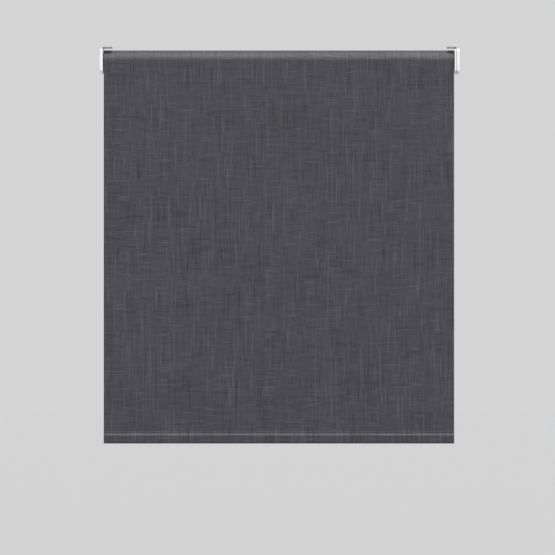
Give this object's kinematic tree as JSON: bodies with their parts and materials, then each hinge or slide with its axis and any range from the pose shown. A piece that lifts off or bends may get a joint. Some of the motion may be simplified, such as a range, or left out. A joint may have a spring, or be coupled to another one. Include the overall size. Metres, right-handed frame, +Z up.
{
  "type": "roller blind",
  "caption": "Spring-operated roller blind on top-fixed end brackets, with blackout fabric that falls off the front of its roll to a hem round a flat weight bar.",
  "frame": {"origin": "midway between the outer faces of the bracket covers, on the plane that the bracket flanges are fixed to, straight above the roller's axis", "axes": "+X along the roller to the drive end, at the right as seen from the room; +Y towards the window; +Z up"},
  "size_m": [0.966, 0.0639, 1.066],
  "materials": {
    "white_steel": "satin powder coat",
    "white_plastic": "satin",
    "grey_plastic": "moulded",
    "nylon": "moulded",
    "zinc_steel": "zinc plated",
    "spring_steel": "oiled wire",
    "aluminium": "mill finish",
    "fabric": "charcoal slub linen look"
  },
  "bodies": {
    "brackets": {"bracket_left": "white_steel", "bracket_right": "white_steel", "bracket_cover_left": "white_plastic", "bracket_cover_right": "white_plastic", "bracket_liner_right": "white_plastic", "pin_bush": "nylon", "spring_shaft": "zinc_steel", "ratchet_hub": "zinc_steel", "shaft_collar": "nylon", "fabric_panel": "fabric"},
    "roller": {"roller_tube": "aluminium", "fabric_key_strip": "grey_plastic", "fabric_roll": "fabric", "idle_plug": "grey_plastic", "drive_plug": "grey_plastic", "idle_spring_cap": "grey_plastic", "pawl_washer": "zinc_steel", "shaft_bearing": "nylon", "shaft_bush": "nylon", "torsion_spring": "spring_steel", "idle_pin_spring": "spring_steel", "pawl_pin_upper": "zinc_steel", "pawl_pin_lower": "zinc_steel"},
    "idle_pin": {"idle_pin": "zinc_steel"},
    "pawl_upper": {"pawl_upper": "zinc_steel"},
    "pawl_lower": {"pawl_lower": "zinc_steel"},
    "bottom_bar": {"hem_pocket": "fabric", "weight_bar": "aluminium", "bar_cap_left": "grey_plastic", "bar_cap_right": "grey_plastic"}
  },
  "joints": [
    {"name": "bar_lift", "type": "slide", "parent": "brackets", "child": "bottom_bar", "axis": [0, 0, 1], "range_m": [-0.194, 0.97], "deforming": ["fabric_panel"]},
    {"name": "roller_turn", "type": "hinge", "parent": "brackets", "child": "roller", "pos_m": [0, 0, -0.0388], "axis": [-1, 0, 0], "range_deg": [-360.1, 1800.1]},
    {"name": "pawl_upper_swing", "type": "hinge", "parent": "roller", "child": "pawl_upper", "pos_m": [0.4613, -0.00771, -0.02961], "axis": [-1, 0, 0], "range_deg": [0, 16]},
    {"name": "pawl_lower_swing", "type": "hinge", "parent": "roller", "child": "pawl_lower", "pos_m": [0.4613, 0.00771, -0.04799], "axis": [-1, 0, 0], "range_deg": [0, 16]},
    {"name": "idle_pin_slide", "type": "slide", "parent": "roller", "child": "idle_pin", "axis": [1, 0, 0], "range_m": [0, 0.008], "stiffness_N_per_m": 300, "deforming": ["idle_pin_spring"]}
  ],
  "couplings": [
    {"joint": "roller_turn", "follows": "bar_lift", "rad_per_m": 32.388}
  ]
}
